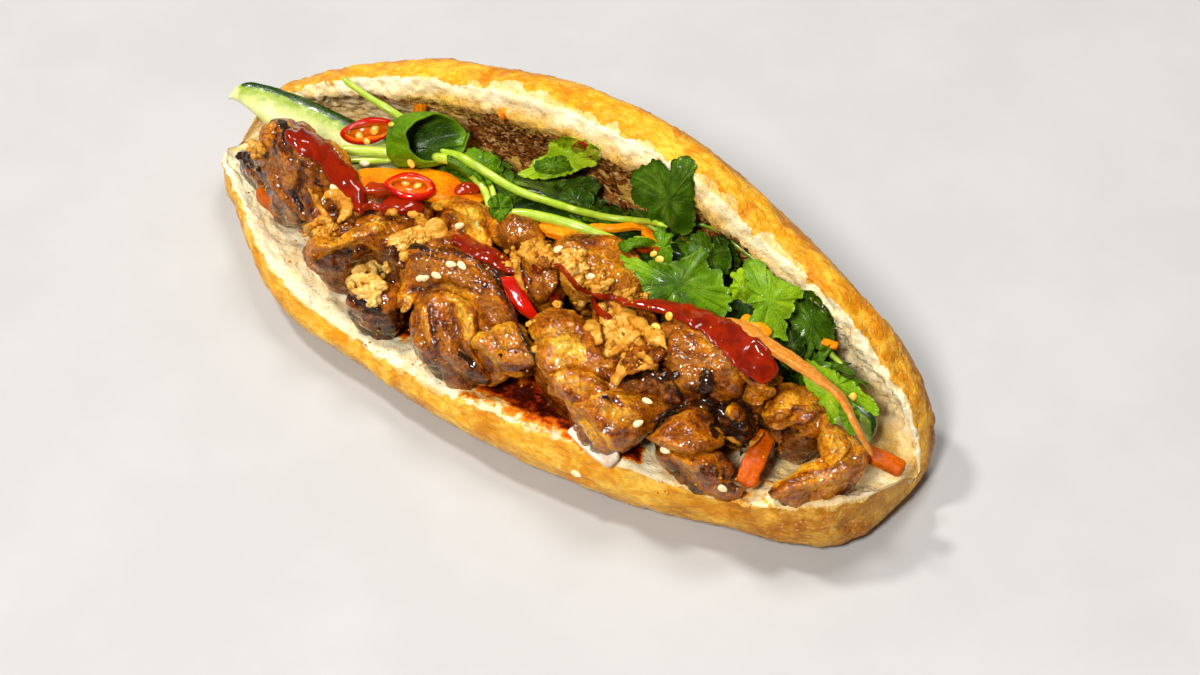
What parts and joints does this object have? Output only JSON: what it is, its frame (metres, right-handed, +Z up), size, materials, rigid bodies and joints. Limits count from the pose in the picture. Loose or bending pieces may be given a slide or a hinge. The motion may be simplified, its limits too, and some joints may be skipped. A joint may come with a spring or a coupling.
{
  "type": "banh mi sandwich",
  "caption": "Filled baguette sandwich opened along its side, with glazed grilled meat, carrot, cucumber, coriander, chilli, fried onion and chilli sauce.",
  "frame": {"origin": "on the resting plane, under the middle of the sandwich", "axes": "+X along the roll, +Y towards the hinge and the standing upper half, +Z up"},
  "size_m": [0.242, 0.0946, 0.0741],
  "materials": {
    "bread_crust": "golden baked crust over an ivory open crumb, dry and slightly rough",
    "pate": "dull brown grainy spread",
    "cucumber": "pale wet flesh with a dark green skin edge",
    "daikon": "moist translucent white, stained pink and orange",
    "carrot": "moist orange",
    "grilled_meat": "glazed brown with golden fat and charred edges, glossy",
    "herb_leaf": "fresh green leaf, faint sheen",
    "chilli": "wet glossy red",
    "fried_onion": "crisp golden batter",
    "chilli_sauce": "thick glossy red sauce"
  },
  "bodies": {
    "root": {"bread_roll": "bread_crust", "pate_spread": "pate", "cucumber_spear_left": "cucumber", "cucumber_spear_right": "cucumber", "daikon_strip_front": "daikon", "carrot_strip_left_end": "carrot", "carrot_strip_front": "carrot", "carrot_strip_right_end": "carrot", "carrot_strip_back": "carrot", "meat_slice_01": "grilled_meat", "meat_slice_02": "grilled_meat", "meat_slice_03": "grilled_meat", "meat_slice_04": "grilled_meat", "meat_slice_05": "grilled_meat", "meat_slice_06": "grilled_meat", "meat_slice_07": "grilled_meat", "meat_slice_08": "grilled_meat", "meat_slice_09": "grilled_meat", "meat_slice_10": "grilled_meat", "meat_slice_11": "grilled_meat", "meat_slice_12": "grilled_meat", "meat_slice_13": "grilled_meat", "meat_slice_14": "grilled_meat", "meat_slice_15": "grilled_meat", "meat_slice_16": "grilled_meat", "meat_slice_17": "grilled_meat", "meat_slice_18": "grilled_meat", "meat_slice_19": "grilled_meat", "meat_slice_20": "grilled_meat", "coriander_bunch": "herb_leaf", "rolled_leaf": "herb_leaf", "carrot_slice_large": "carrot", "carrot_strip_mid": "carrot", "carrot_ribbon_long": "carrot", "chilli_ring_top": "chilli", "chilli_ring_back": "chilli", "chilli_strip_mid": "chilli", "crispy_onion_left": "fried_onion", "crispy_onion_flat": "fried_onion", "crispy_onion_chunk": "fried_onion", "crispy_onion_mid": "fried_onion", "crispy_onion_strip": "fried_onion", "crispy_onion_low": "fried_onion", "crispy_onion_right": "fried_onion", "sauce_left": "chilli_sauce", "sauce_middle": "chilli_sauce", "sauce_right": "chilli_sauce"}
  },
  "joints": []
}
